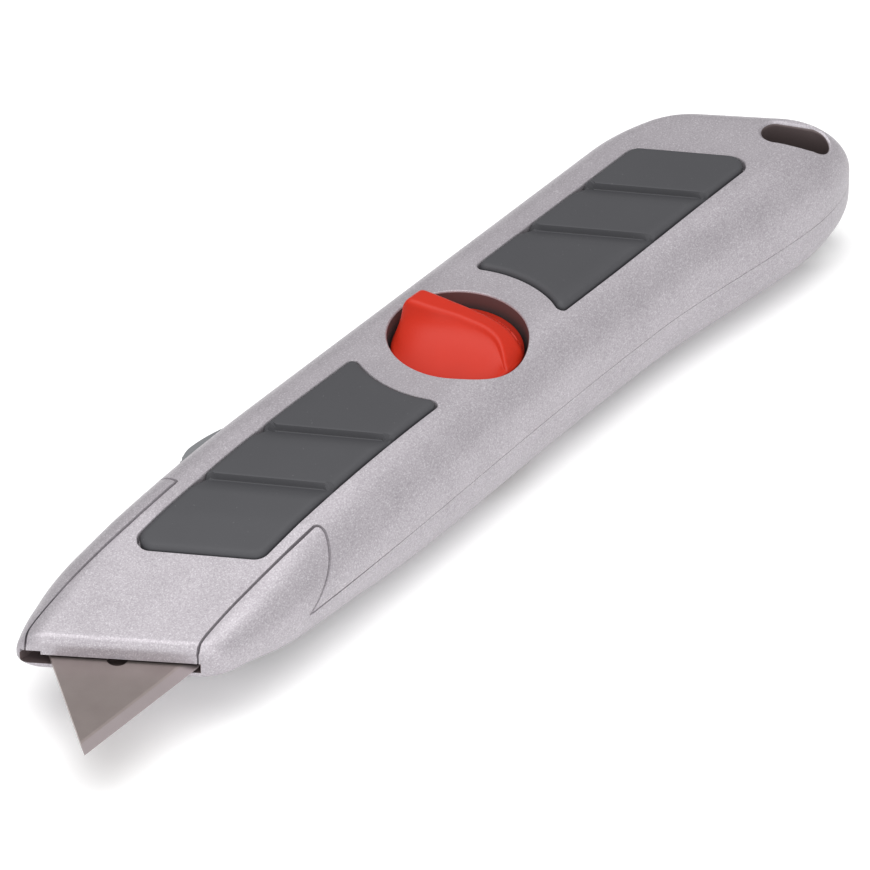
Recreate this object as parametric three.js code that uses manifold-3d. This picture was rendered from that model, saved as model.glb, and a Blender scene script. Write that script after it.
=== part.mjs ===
// Utility knife: a two-part casing held shut by a turn-knob, with a sliding trapezoid blade,
// a thumb button on the spine and spare blades stored in the rear.
// Millimetres. Working frame: the knob turns about Z at x = y = 0, X runs to the rear, Y to the
// spine, Z to the face, and z = 0 is the parting plane. The last group moves the origin to the
// middle of the underside.
import * as THREE from 'three';
import { mergeVertices } from 'three/addons/utils/BufferGeometryUtils.js';
import Module from 'manifold-3d';

const wasm = await Module();
wasm.setup();

// Driving dimensions of the casing
const bodyThickness = 21;
const noseReach = 76.6; // knob axis to the slanted nose edge
const rearReach = 70.25; // knob axis to the slanted rear edge
const endSlant = 0.663; // how far both ends lean to the nose per mm towards the spine
const spineReach = 14.7; // knob axis to the spine
const bellyReach = 13.55; // knob axis to the belly at the waist behind the knob
const noseBulge = 1.87; // extra depth of the belly under the front grip
const heelBulge = 2.5; // extra depth of the belly at the heel
const wall = 2.6;
const spineFillet = 5;
const bellyFillet = 8.45;
const rearFillet = 5.5;
const noseFillet = 1.4;
const chin = 0.4; // how much thinner the back half gets towards the nose, as a share
const partingGap = 0.3;

// Driving dimensions of the blade and its travel
const bladeLength = 61;
const bladeHeight = 19;
const bladeThickness = 0.65;
const bladeShortSide = 33;
const bladeTip = 93.2; // knob axis to the tip with the blade out
const bladeEdge = 10.6; // knob axis to the cutting edge
const bevelWidth = 2.1;
const bladeHoleRadius = 1.5;
const bladeHoleFromTip = 17.9;
const bladeTravel = 25;
const spareBlades = 4;

// Driving dimensions of the knob and its screw
const recessRadius = 10;
const recessDepth = 6;
const cupWall = 2;
const knobGap = 0.5; // between the knob and its recess
const knobBelowFace = 2; // the disc's top lies this far under the face
const finHeight = 3.5; // thumb fin above the face
const finWidth = 3.8;
const screwRadius = 2.2;
const insertWall = 1.7;
const bossWall = 1.5;

// Driving dimensions of the grips
const gripHalfWidth = 7.75;
const gripProud = 0.5;
const gripDepth = 1.0; // how deep a grip is let into the casing
const gripRingWidth = 5.6; // bare metal between the knob's recess and the grips
const gripSlant = 0.6;
const gripToNose = 19.4; // slanted nose edge to the front grip's end
const gripToRear = 15.65; // rear grip's end to the slanted rear edge
const frontGripSteps = [-41, -28.3];
const rearGripSteps = [30.6, 43.3];
const frontGripEnd = gripToNose - noseReach;
const rearGripEnd = rearReach - gripToRear;

// Driving dimensions of the thumb button and the hang slot
const buttonCentre = -35.5;
const buttonLength = 14.6;
const buttonCrest = 4.6; // front end of the button to its highest point
const buttonHalfWidth = 5.4;
const buttonHeight = 2.7; // top of the button above the spine
const buttonTravel = 1.2;
const stemLength = 7;
const slotToRear = 2.15; // hang slot's middle to the rear edge's station
const slotCentre = new THREE.Vector2(rearReach - slotToRear, -8);
const slotLength = 9.7;
const slotWidth = 4.5;
const slotTilt = THREE.MathUtils.degToRad(38);
const slotWall = 1.2;

// Driving dimensions of the cheeks beside the nose
const spineCheekEnd = -49;
const bellyCheekEnd = -42.8;

// Clearances
const restGap = 0.3; // between pieces that touch
const runGap = 0.5; // round what moves

const half = bodyThickness / 2;
const insideHalf = half - wall;
const bladeBack = bladeHeight - bladeEdge;
const bladeCut = (bladeLength - bladeShortSide) / 2;
const bladeRear = bladeLength - bladeTip;
const knobRadius = recessRadius - knobGap;
const gripRingRadius = recessRadius + gripRingWidth;
const beyond = 40; // tool length that is sure to pass through the casing

// Shape of the casing, as functions of the slanted station u = x + endSlant * y

const ease = (t) => (1 - Math.cos(Math.PI * THREE.MathUtils.clamp(t, 0, 1))) / 2;
const roundOff = (depth, length, past) =>
  depth * (1 - Math.sqrt(Math.max(0, 1 - (Math.max(0, past) / length) ** 2)));

function spineEdge(u) {
  const noseFall = 0.011 * Math.max(0, -57 - u) ** 2;
  return spineReach - noseFall - roundOff(8.9, 13.6, u - rearReach + 13.6)
    - roundOff(1.2, 1.8, -u - noseReach + 1.8);
}

function bellyEdge(u) {
  const front = noseBulge * ease((15 - u) / 77.7) - 1.2 * ease((12.2 - u - noseReach) / 12.2);
  const heel = heelBulge * ease((u - 19) / 35.4);
  return -(bellyReach + front + heel) + roundOff(7.5, 19.5, u - rearReach + 19.5)
    + roundOff(2.1, 3, -u - noseReach + 3);
}

function halfThickness(u) {
  const curved = 0.0022 * Math.min(Math.max(0, -20 - u), 30) ** 2;
  const straight = 0.19 * Math.max(0, -50 - u);
  return half - curved - straight - roundOff(rearFillet, rearFillet, u - rearReach + rearFillet)
    - roundOff(noseFillet, noseFillet, -u - noseReach + noseFillet);
}

// Stations crowd together at the rounded ends
function stations() {
  const list = [0, 0.35, 0.7, 1].map((t) => -noseReach + noseFillet * t ** 2);
  for (let i = 1; i <= 10; i++) list.push(-noseReach + noseFillet + (noseReach - 21) * (i / 10));
  list.push(-10, 2, 15, 24, 32, 40);
  for (let angle = 0; angle <= 90; angle += 10) {
    list.push(rearReach - 20 + 20 * Math.sin(THREE.MathUtils.degToRad(angle)));
  }
  return list;
}

// One cross-section of the casing, drawn in by inset all round
function bodySection(u, inset) {
  const middle = (rearReach - noseReach) / 2;
  const reach = (rearReach + noseReach) / 2;
  const at = middle + (u - middle) * (1 - inset / reach);
  const top = spineEdge(u) - inset;
  const bottom = bellyEdge(u) + inset;
  const thick = Math.max(halfThickness(u) - inset, 0.7);
  const limit = Math.min(thick, (top - bottom) / 2) - 0.3;
  const spineR = Math.min(Math.max(spineFillet - inset, 0.5), limit);
  const bellyR = Math.min(Math.max(bellyFillet - inset, 0.5), limit);
  const corners = [
    [top - spineR, thick - spineR, spineR, 0],
    [bottom + bellyR, thick - bellyR, bellyR, 90],
    [bottom + bellyR, bellyR - thick, bellyR, 180],
    [top - spineR, spineR - thick, spineR, 270],
  ];
  const thinner = 1 - chin * ease((16.6 - u - noseReach) / 16);
  const ring = [];
  for (const [cy, cz, r, start] of corners) {
    for (let step = 0; step <= 4; step++) {
      const angle = THREE.MathUtils.degToRad(start + step * 22.5);
      const y = cy + r * Math.cos(angle);
      const z = cz + r * Math.sin(angle);
      ring.push(new THREE.Vector3(at - endSlant * y, y, z < 0 ? z * thinner : z));
    }
  }
  return ring;
}

// Closed skin through rings of equal length, which run anticlockwise about +X
function loft(rings) {
  const count = rings[0].length;
  const last = (rings.length - 1) * count;
  const index = [];
  for (let s = 0; s + 1 < rings.length; s++) {
    for (let i = 0; i < count; i++) {
      const a = s * count + i;
      const b = s * count + (i + 1) % count;
      index.push(a, b, b + count, a, b + count, a + count);
    }
  }
  for (let i = 1; i + 1 < count; i++) {
    index.push(0, i + 1, i, last, last + i, last + i + 1);
  }
  const geometry = new THREE.BufferGeometry().setFromPoints(rings.flat());
  geometry.setIndex(index);
  return geometry;
}

const body = (inset) => solid(loft(stations().map((u) => bodySection(u, inset))));

// Solids

function solid(geometry) {
  geometry.deleteAttribute('normal');
  geometry.deleteAttribute('uv');
  const merged = mergeVertices(geometry, 1e-4);
  return new wasm.Manifold(new wasm.Mesh({
    numProp: 3,
    vertProperties: merged.attributes.position.array,
    triVerts: Uint32Array.from(merged.index.array),
  }));
}

function block([x0, x1], [y0, y1], [z0, z1]) {
  const geometry = new THREE.BoxGeometry(x1 - x0, y1 - y0, z1 - z0);
  geometry.translate((x0 + x1) / 2, (y0 + y1) / 2, (z0 + z1) / 2);
  return solid(geometry);
}

function post(x, y, radius, [z0, z1], segments = 24) {
  const geometry = new THREE.CylinderGeometry(radius, radius, z1 - z0, segments);
  geometry.rotateX(Math.PI / 2).translate(x, y, (z0 + z1) / 2);
  return solid(geometry);
}

// A closed profile of [radius, z] points turned about the knob's axis
function turned(profile, segments = 32) {
  const points = [...profile, profile[0]].map(([r, z]) => new THREE.Vector2(r, z));
  const geometry = new THREE.LatheGeometry(points, segments);
  geometry.rotateX(Math.PI / 2);
  return solid(geometry);
}

function prism(shape, [z0, z1], segments = 6) {
  const settings = { depth: z1 - z0, bevelEnabled: false, curveSegments: segments };
  return solid(new THREE.ExtrudeGeometry(shape, settings).translate(0, 0, z0));
}

// A shape drawn in (x, z), extruded along Y
function sidePrism(shape, [y0, y1]) {
  const settings = { depth: y1 - y0, bevelEnabled: false, curveSegments: 6 };
  const geometry = new THREE.ExtrudeGeometry(shape, settings);
  return solid(geometry.rotateX(Math.PI / 2).translate(0, y1, 0));
}

const polygon = (points) => new THREE.Shape(points.map(([x, y]) => new THREE.Vector2(x, y)));

// A polygon whose corners are rounded by the radius given with each: [x, y, radius]
function roundedPolygon(corners) {
  const shape = new THREE.Shape();
  corners.forEach(([x, y, r], i) => {
    const here = new THREE.Vector2(x, y);
    const [before, after] = [-1, 1].map((side) => {
      const [nx, ny] = corners[(i + side + corners.length) % corners.length];
      return new THREE.Vector2(nx, ny).sub(here).setLength(r).add(here);
    });
    if (i === 0) shape.moveTo(before.x, before.y);
    else shape.lineTo(before.x, before.y);
    shape.quadraticCurveTo(x, y, after.x, after.y);
  });
  shape.closePath();
  return shape;
}

function stadium(centre, length, width, tilt) {
  const r = width / 2;
  const run = length / 2 - r;
  const along = new THREE.Vector2(Math.sin(tilt), -Math.cos(tilt)).multiplyScalar(run);
  const shape = new THREE.Shape();
  shape.absarc(centre.x + along.x, centre.y + along.y, r, Math.PI + tilt, 2 * Math.PI + tilt);
  shape.absarc(centre.x - along.x, centre.y - along.y, r, tilt, Math.PI + tilt);
  shape.closePath();
  return shape;
}

// The regions of the two casings

// The back casing's cheeks stand beside the face casing's tongue; grow moves their edges outwards.
// The seams run beside the grips and turn in towards the blade at the nose.
function cheeks(grow) {
  const far = -noseReach - beyond;
  const spineSeam = gripHalfWidth + 2.75 - grow;
  const bellySeam = -gripHalfWidth - 2.05 + grow;
  const bellyEnd = bellyCheekEnd + grow;
  const spine = polygon([
    [spineCheekEnd + grow, beyond], [far, beyond], [far, spineSeam - 4], [-noseReach - 5.4, spineSeam - 0.7],
    [-noseReach - 2.8, spineSeam - 0.1], [1.6 - noseReach, spineSeam + 0.2],
    [spineCheekEnd + grow, spineSeam - 0.2],
  ]);
  const belly = polygon([
    [bellyEnd, -beyond], [bellyEnd, bellySeam], [14.6 - noseReach, bellySeam],
    [9.1 - noseReach, bellySeam - 0.3], [7.6 - noseReach, bellySeam - 0.5],
    [4.6 - noseReach, bellySeam - 1.5], [far, bellySeam - 8], [far, -beyond],
  ]);
  const shoulder = sidePrism(polygon([
    [bellyEnd, half - 3], [bellyEnd + 1, half - 3], [bellyEnd + 1, beyond], [bellyEnd - 1.5, beyond],
    [bellyEnd - 1.5, half - 1.1],
  ]), [-beyond, beyond]);
  const heights = [-half, half + 1];
  return prism(spine, heights).add(prism(belly, heights).subtract(shoulder));
}

const above = block([-2 * noseReach, 2 * noseReach], [-beyond, beyond], [partingGap / 2, beyond]);
const below = block([-2 * noseReach, 2 * noseReach], [-beyond, beyond], [-beyond, -partingGap / 2]);

// Grips: an inlay between a proud and a sunken copy of the casing's surface

function gripOutline(front, grow) {
  const side = gripHalfWidth + grow;
  const end = front ? frontGripEnd - grow : rearGripEnd + grow;
  const lean = gripSlant * side;
  const corners = [[0, side, 0.01], [end - lean, side, 2.3], [end + lean, -side, 2.3], [0, -side, 0.01]];
  return front ? corners : corners.reverse();
}

const gripRegion = (front, grow) => prism(roundedPolygon(gripOutline(front, grow)), [0, beyond], 4)
  .subtract(post(0, 0, gripRingRadius - grow, [-1, beyond + 1], 48));

// Shallow V-grooves mark the steps between a grip's panels
function gripGroove(x) {
  const depth = 0.35;
  const reach = gripHalfWidth + 3;
  const line = (shift, y) => [x + shift - gripSlant * y, y];
  const shape = polygon([line(0, -reach), line(0, reach), line(-2.6, reach), line(-2.6, -reach)]);
  return prism(shape, [0, beyond]).intersect(body(-gripProud - 1)).subtract(body(depth - gripProud));
}

function grip(front, grooved) {
  let piece = gripRegion(front, 0).intersect(body(-gripProud).subtract(body(gripDepth)));
  if (grooved) for (const x of front ? frontGripSteps : rearGripSteps) piece = piece.subtract(gripGroove(x));
  return piece;
}

const gripPocket = (front) => gripRegion(front, restGap)
  .subtract(body(gripDepth + restGap));

// Mirrored through the parting plane
const flipped = (piece) => piece.mirror([0, 0, 1]);

// Levels inside the casing
const bladeTop = bladeThickness / 2;
const cupFloorTop = half - recessDepth;
const cupFloorBottom = cupFloorTop - 1.6;
const carriageTop = -bladeTop - restGap;
const carriageBottom = 4.5 - insideHalf;
const insertBore = screwRadius + restGap;
const insertRadius = insertBore + insertWall;
const bossRadius = insertRadius + restGap + bossWall;
const bossTop = -0.9;
const insertTop = bossTop - 0.1;
const insertBottom = -insideHalf + 0.9;
const screwBottom = (insertTop + insertBottom) / 2;
const screwHeadRadius = screwRadius + 1.4;
const railOffset = 6.5; // the carriage's two rails, each side of the middle

const dowelRadius = 1.25;
const dowels = [
  ['dowel_pin_front', bossRadius + 1.5, spineReach - 5.5],
  ['dowel_pin_rear', rearReach - 13.75, spineReach - 6.2],
];
const dowelBoss = dowelRadius + restGap + 1.25;
const dowelHeights = [-insideHalf + 1.4, cupFloorBottom - restGap];

// The blade's outline, its long edge towards the belly
function bladeShape(tipX, edgeY) {
  const backY = edgeY + bladeHeight;
  return polygon([
    [tipX, edgeY], [tipX + bladeLength, edgeY],
    [tipX + bladeLength - bladeCut, backY], [tipX + bladeCut, backY],
  ]);
}

function trapezoidBlade(tipX, edgeY, level) {
  const backY = edgeY + bladeHeight;
  const section = polygon([
    [edgeY, 0.03], [edgeY + bevelWidth, bladeTop], [backY, bladeTop],
    [backY, -bladeTop], [edgeY + bevelWidth, -bladeTop], [edgeY, -0.03],
  ]);
  const settings = { depth: bladeLength + 2, bevelEnabled: false };
  const bar = new THREE.ExtrudeGeometry(section, settings);
  bar.rotateY(Math.PI / 2).rotateX(Math.PI / 2).translate(tipX - 1, 0, 0);
  let blade = solid(bar).intersect(prism(bladeShape(tipX, edgeY), [-1, 1]));
  for (const x of bladeHoles(tipX)) {
    blade = blade.subtract(post(x, edgeY + bladeHeight / 2, bladeHoleRadius, [-1, 1], 20));
  }
  for (const side of [-1, 1]) {
    const notch = tipX + bladeLength / 2 + side * 5.5;
    blade = blade.subtract(block([notch - 1.1, notch + 1.1], [backY - 2.2, backY + 1], [-1, 1]));
  }
  return blade.translate([0, 0, level]);
}

const bladeHoles = (tipX) => [tipX + bladeHoleFromTip, tipX + bladeLength - bladeHoleFromTip];

// Casings

// Where the stem of the thumb button runs, and the channel that its hump lies in
const buttonRoom = buttonLength / 2 + runGap;
const stemRoom = stemLength / 2 + runGap;
const channelDepth = buttonTravel + restGap + 0.1;
const stemHalfWidth = 1.8;

function buttonPassage() {
  const channel = block(
    [buttonCentre - buttonRoom, buttonCentre + bladeTravel + buttonRoom],
    [spineReach - channelDepth, beyond], [-buttonHalfWidth - 0.4, buttonHalfWidth + 0.4],
  );
  const slot = block(
    [buttonCentre - stemRoom, buttonCentre + bladeTravel + stemRoom],
    [spineReach - wall - 1, beyond], [-stemHalfWidth - restGap, stemHalfWidth + restGap],
  );
  return channel.add(slot);
}

const mouth = block([15 - noseReach, bladeRear + 4], [-bladeEdge - 0.6, bladeBack + 1.8],
  [-bladeTop - 1.05, bladeTop + restGap])
  .add(block([-noseReach - beyond, 16 - noseReach], [-bladeEdge - restGap, bladeBack + 1.55],
    [-bladeTop - 0.6, bladeTop + restGap]));

const hangColumn = (zs) => prism(stadium(slotCentre, slotLength + 2 * slotWall,
  slotWidth + 2 * slotWall, slotTilt), zs);
const hangSlot = () => prism(stadium(slotCentre, slotLength, slotWidth, slotTilt), [-beyond, beyond]);

function backCasing(outer, inner) {
  const inside = [-half, -partingGap / 2];
  let casing = outer.subtract(inner).intersect(below)
    .add(outer.intersect(cheeks(-partingGap / 2)).intersect(
      block([-noseReach - beyond, 0], [-beyond, beyond], [-1, beyond])));
  let fittings = hangColumn(inside).add(post(0, 0, bossRadius, [-half, bossTop], 32));
  for (const [, x, y] of dowels) fittings = fittings.add(post(x, y, dowelBoss, inside));
  for (const y of [-railOffset, railOffset]) {
    fittings = fittings.add(block([8.6 - noseReach, -bossRadius - 2], [y - 0.8, y + 0.8],
      [-half, carriageBottom - restGap]));
  }
  casing = casing.add(outer.intersect(fittings));
  casing = casing.subtract(post(0, 0, insertRadius + restGap, [insertBottom - restGap, 0], 32));
  for (const [, x, y] of dowels) {
    casing = casing.subtract(post(x, y, dowelRadius + restGap, [dowelHeights[0] - restGap, 1], 16));
  }
  return casing.subtract(mouth).subtract(buttonPassage()).subtract(hangSlot())
    .subtract(flipped(gripPocket(true))).subtract(flipped(gripPocket(false)));
}

function faceCasing(outer, inner) {
  const inside = [partingGap / 2, half];
  const cup = post(0, 0, recessRadius + cupWall, [cupFloorBottom, half], 48);
  let casing = outer.subtract(inner).intersect(above).subtract(cheeks(partingGap / 2));
  let fittings = hangColumn(inside).add(cup);
  for (const [, x, y] of dowels) fittings = fittings.add(post(x, y, dowelBoss, inside));
  casing = casing.add(outer.intersect(fittings));
  for (const [, x, y] of dowels) {
    casing = casing.subtract(post(x, y, dowelRadius + restGap, [-1, dowelHeights[1] + restGap], 16));
  }
  const rim = 0.5;
  const recess = turned([[0, cupFloorTop], [recessRadius, cupFloorTop], [recessRadius, half - rim],
    [recessRadius + rim + 1, half + 1], [0, half + 1]], 48);
  return casing.subtract(recess).subtract(post(0, 0, screwRadius + 0.4, [0, half], 24))
    .subtract(mouth).subtract(buttonPassage()).subtract(hangSlot())
    .subtract(gripPocket(true)).subtract(gripPocket(false));
}

// Knob and its screw

const washerBottom = cupFloorTop + restGap;
const washerTop = washerBottom + 0.5;
const knobBottom = washerTop + restGap;
const knobTop = half - knobBelowFace;
const screwHeadTop = knobBottom + 1.4;

function lockKnob() {
  const disc = turned([[0, knobBottom], [knobRadius, knobBottom], [knobRadius, knobTop - 0.4],
    [knobRadius - 0.4, knobTop], [0, knobTop]], 40);
  const reach = knobRadius - 1.3;
  const low = half + finHeight - 1.7;
  const profile = polygon([[reach, knobBottom + 1], [reach, half + finHeight - 1.2],
    [reach - 1.2, half + finHeight], [-reach + 2.5, low], [-reach, low - 1.6], [-reach, knobBottom + 1]]);
  const settings = { depth: finWidth, bevelEnabled: false };
  const fin = new THREE.ExtrudeGeometry(profile, settings);
  fin.rotateY(Math.PI / 2).rotateX(Math.PI / 2).translate(-finWidth / 2, 0, 0);
  const pocketRadius = screwHeadRadius + restGap;
  const pocket = turned([[0, knobBottom - 1], [pocketRadius, knobBottom - 1],
    [pocketRadius, screwHeadTop + restGap], [0, screwHeadTop + restGap]], 24);
  return disc.add(solid(fin)).subtract(pocket);
}

const knobScrew = () => turned([[0, screwBottom], [screwRadius, screwBottom],
  [screwRadius, knobBottom + 0.4], [screwHeadRadius, knobBottom + 0.4],
  [screwHeadRadius, screwHeadTop], [0, screwHeadTop]], 24);
const washerRadii = [screwRadius + 0.8, knobRadius - 3];
const knobWasher = () => turned([[washerRadii[0], washerBottom], [washerRadii[1], washerBottom],
  [washerRadii[1], washerTop], [washerRadii[0], washerTop]], 24);
const ringTop = cupFloorBottom - restGap;
const ringBottom = ringTop - 0.7;
const ringRadii = [screwRadius + restGap, screwRadius + 2.4];
const retainingRing = () => turned([[ringRadii[0], ringBottom], [ringRadii[1], ringBottom],
  [ringRadii[1], ringTop], [ringRadii[0], ringTop]], 24);
const threadedInsert = () => turned([[insertBore, insertBottom], [insertRadius, insertBottom],
  [insertRadius, insertTop], [insertBore, insertTop]], 24);

// Blade carriage

const carriageFront = buttonCentre - 18;
const carriageRear = buttonCentre + 2.5;
const lipRear = carriageFront + 9;
const springBase = bladeBack - 2.9; // bottom of the button spring's pocket
const footBottom = spineReach - wall - 2.5;
const footTop = footBottom + 0.6;
const springX = buttonCentre;
const springZ = (carriageTop + carriageBottom) / 2;

function bladeCarriage() {
  const heights = [carriageBottom, carriageTop];
  const plate = block([carriageFront, carriageRear], [2.6 - bladeEdge, bladeBack - 0.4], heights);
  const lip = block([carriageFront, lipRear], [bladeBack - 0.6, bladeBack + restGap + 1.1], heights)
    .add(block([carriageFront, lipRear], [bladeBack + restGap, bladeBack + restGap + 1.1],
      [carriageBottom, bladeTop + 0.4]));
  const peg = post(bladeHoles(-bladeTip)[1], -bladeEdge + bladeHeight / 2, bladeHoleRadius - restGap,
    [carriageBottom + 0.5, bladeTop + 0.6], 16);
  const pocket = block([buttonCentre - 4.5, beyond], [springBase, beyond], [-beyond, beyond]);
  return plate.subtract(pocket).add(lip).add(peg);
}

// A leaf bent round the carriage's rear edge
function retainingSpring() {
  const leaf = 0.4;
  const low = carriageBottom - restGap - leaf;
  const high = bladeTop + restGap;
  const back = carriageRear + restGap;
  const shape = polygon([[carriageRear - 10, low], [back + leaf, low], [back + leaf, high + leaf],
    [carriageRear - 9, high + leaf], [carriageRear - 9, high], [back, high], [back, low + leaf],
    [carriageRear - 10, low + leaf]]);
  return sidePrism(shape, [-3, 3]);
}

// Thumb button

function thumbButton() {
  const [front, rear] = [buttonCentre - buttonLength / 2, buttonCentre + buttonLength / 2];
  const crest = front + buttonCrest;
  const top = spineReach + buttonHeight;
  const shape = new THREE.Shape();
  shape.moveTo(front, spineReach - 0.1);
  shape.lineTo(rear, spineReach - 0.1);
  shape.lineTo(rear, spineReach + 0.4);
  shape.quadraticCurveTo(crest + 5, top, crest, top);
  shape.quadraticCurveTo(front + 1.8, top, front, spineReach + 0.4);
  shape.closePath();
  const hump = prism(shape, [-buttonHalfWidth, buttonHalfWidth], 8);
  const stem = block([buttonCentre - stemLength / 2, buttonCentre + stemLength / 2],
    [footBottom, spineReach + 1], [-stemHalfWidth, stemHalfWidth]);
  const foot = block([buttonCentre - stemLength / 2, buttonCentre + stemLength / 2],
    [footBottom, footTop], [-4.6, stemHalfWidth]);
  return hump.add(stem).add(foot);
}

function buttonSpring() {
  const [inner, outer] = [0.8, 1.2];
  const points = [[inner, 0], [outer, 0], [outer, 1], [inner, 1], [inner, 0]];
  const length = footBottom - springBase - 2 * restGap;
  const geometry = new THREE.LatheGeometry(points.map(([r, t]) => new THREE.Vector2(r, t * length)), 12);
  return solid(geometry.translate(springX, springBase + restGap, springZ));
}

// The strip's notches face the button's foot
function detentRail() {
  const bottomY = footTop + restGap;
  let rail = block([buttonCentre - 4, -bossRadius], [bottomY, spineReach - wall - restGap], [-4.6, -2.6]);
  for (const stop of [0, bladeTravel / 2, bladeTravel]) {
    const x = buttonCentre + stop;
    rail = rail.subtract(block([x - 1.6, x + 1.6], [bottomY - 1, bottomY + 0.7], [-6, -2]));
  }
  return rail;
}

// Spare blades

const spareEdge = 5.25 - bellyReach;
// The stack's slanted end runs close past the boss round the insert
const spareTip = ((bossRadius + runGap) * Math.hypot(bladeCut, bladeHeight) + spareEdge * bladeCut)
  / bladeHeight;
const trayTop = -insideHalf + restGap + 1;
const spareLevel = (i) => trayTop + restGap + bladeTop + i * (bladeThickness + restGap);
const stackTop = spareLevel(spareBlades - 1) + bladeTop;

function spareBladeTray() {
  const heights = [-insideHalf + restGap, trayTop];
  const middle = spareTip + bladeLength / 2;
  const [low, high] = [spareEdge + 4.5, spareEdge + 17];
  const shape = polygon([[middle - 17, low], [middle + 17, low], [middle + 15, high], [middle - 15, high]]);
  let tray = prism(shape, heights);
  for (const x of bladeHoles(spareTip)) {
    tray = tray.add(post(x, spareEdge + bladeHeight / 2, bladeHoleRadius - restGap,
      [heights[0], stackTop + restGap + 0.7], 16));
  }
  return tray;
}

function spareBladeClip() {
  const holes = bladeHoles(spareTip);
  const y = spareEdge + bladeHeight / 2;
  const level = stackTop + restGap;
  let clip = block([holes[0] - 4, holes[1] + 4], [y - 3.5, y + 3.5], [level, level + 0.5]);
  for (const x of holes) clip = clip.subtract(post(x, y, bladeHoleRadius, [-half, half], 16));
  return clip;
}

// Materials

const finish = (color, roughness, metalness) =>
  new THREE.MeshStandardMaterial({ color, roughness, metalness });
const silverPaint = finish('#b4adb4', 0.45, 0.6);
const rubber = finish('#58585a', 0.75, 0);
const redPlastic = finish('#cf3a2a', 0.4, 0);
const bladeSteel = finish('#96908e', 0.35, 1);
const springSteel = finish('#8c8c90', 0.3, 1);
const brass = finish('#b08a45', 0.35, 1);
const greyPlastic = finish('#aeb4bb', 0.5, 0);
const blackPlastic = finish('#2b2c2e', 0.55, 0);

// Assembly

const knife = new THREE.Group();
// The underside is the back grips' face, and the box runs from the blade's tip to the heel
const rearMost = Math.max(...stations().map((u) => u - endSlant * bellyEdge(u)));
const buttonTop = spineReach + buttonHeight;
const bellyMost = Math.min(...stations().map(bellyEdge));
knife.position.set((bladeTip - rearMost) / 2, -(buttonTop + bellyMost) / 2, half + gripProud);

function place(name, piece, material) {
  const { vertProperties, triVerts } = piece.getMesh();
  const geometry = new THREE.BufferGeometry();
  geometry.setAttribute('position', new THREE.BufferAttribute(vertProperties, 3));
  geometry.setIndex([...triVerts]);
  geometry.computeVertexNormals();
  const mesh = new THREE.Mesh(geometry, material);
  mesh.name = name;
  knife.add(mesh);
}

const outerBody = body(0);
const innerBody = body(wall);

place('back_casing', backCasing(outerBody, innerBody), silverPaint);
place('face_casing', faceCasing(outerBody, innerBody), silverPaint);
place('face_front_grip', grip(true, true), rubber);
place('face_rear_grip', grip(false, true), rubber);
place('back_front_grip', flipped(grip(true, false)), rubber);
place('back_rear_grip', flipped(grip(false, false)), rubber);
place('lock_knob', lockKnob(), redPlastic);
place('knob_screw', knobScrew(), springSteel);
place('knob_washer', knobWasher(), springSteel);
place('knob_retaining_ring', retainingRing(), springSteel);
place('threaded_insert', threadedInsert(), brass);
place('blade', trapezoidBlade(-bladeTip, -bladeEdge, 0), bladeSteel);
place('blade_carriage', bladeCarriage(), blackPlastic);
place('blade_retaining_spring', retainingSpring(), springSteel);
place('thumb_button', thumbButton(), greyPlastic);
place('button_spring', buttonSpring(), springSteel);
place('detent_rail', detentRail(), springSteel);
for (let i = 0; i < spareBlades; i++) {
  place(`spare_blade_${i + 1}`, trapezoidBlade(spareTip, spareEdge, spareLevel(i)), bladeSteel);
}
place('spare_blade_tray', spareBladeTray(), blackPlastic);
place('spare_blade_clip', spareBladeClip(), springSteel);
for (const [name, x, y] of dowels) place(name, post(x, y, dowelRadius, dowelHeights, 16), springSteel);

export default knife;
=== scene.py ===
"""Utility knife: the looks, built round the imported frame.

Shapes are worked out in millimetres in a working frame: the knob turns about z at x = y = 0,
x runs to the rear, y to the spine, z to the face, and z = 0 is the parting plane of the casing.
place() turns each finished mesh into metres in the row frame.
"""
import math

import bmesh
import bpy
import numpy as np
from mathutils import Matrix, Vector, geometry


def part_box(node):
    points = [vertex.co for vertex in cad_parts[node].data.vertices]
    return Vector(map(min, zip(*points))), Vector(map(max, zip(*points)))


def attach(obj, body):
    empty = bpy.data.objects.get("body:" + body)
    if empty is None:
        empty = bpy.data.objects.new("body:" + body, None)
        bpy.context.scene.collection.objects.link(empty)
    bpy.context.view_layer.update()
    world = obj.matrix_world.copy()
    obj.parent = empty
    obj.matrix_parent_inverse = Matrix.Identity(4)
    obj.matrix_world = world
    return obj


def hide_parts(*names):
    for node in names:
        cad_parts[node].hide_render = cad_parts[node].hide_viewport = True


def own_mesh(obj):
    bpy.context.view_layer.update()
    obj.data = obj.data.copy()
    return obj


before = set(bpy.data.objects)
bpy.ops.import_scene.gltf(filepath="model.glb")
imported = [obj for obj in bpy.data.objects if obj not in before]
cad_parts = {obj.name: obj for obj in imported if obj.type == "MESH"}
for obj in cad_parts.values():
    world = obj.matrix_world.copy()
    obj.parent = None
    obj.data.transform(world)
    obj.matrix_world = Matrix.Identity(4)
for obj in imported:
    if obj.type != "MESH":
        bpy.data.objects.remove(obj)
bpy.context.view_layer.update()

MM = 0.001


def middle(node):
    low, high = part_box(node)
    return (low + high) / 2 / MM


# The working frame's origin in the row frame, in millimetres
KNOB_AXIS = middle("threaded_insert")
ORIGIN = np.array([KNOB_AXIS.x, KNOB_AXIS.y, middle("blade").z])


def local_box(node):
    """A CAD node's lowest and highest corners in the working frame."""
    return [np.array(corner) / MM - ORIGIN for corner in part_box(node)]


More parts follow.
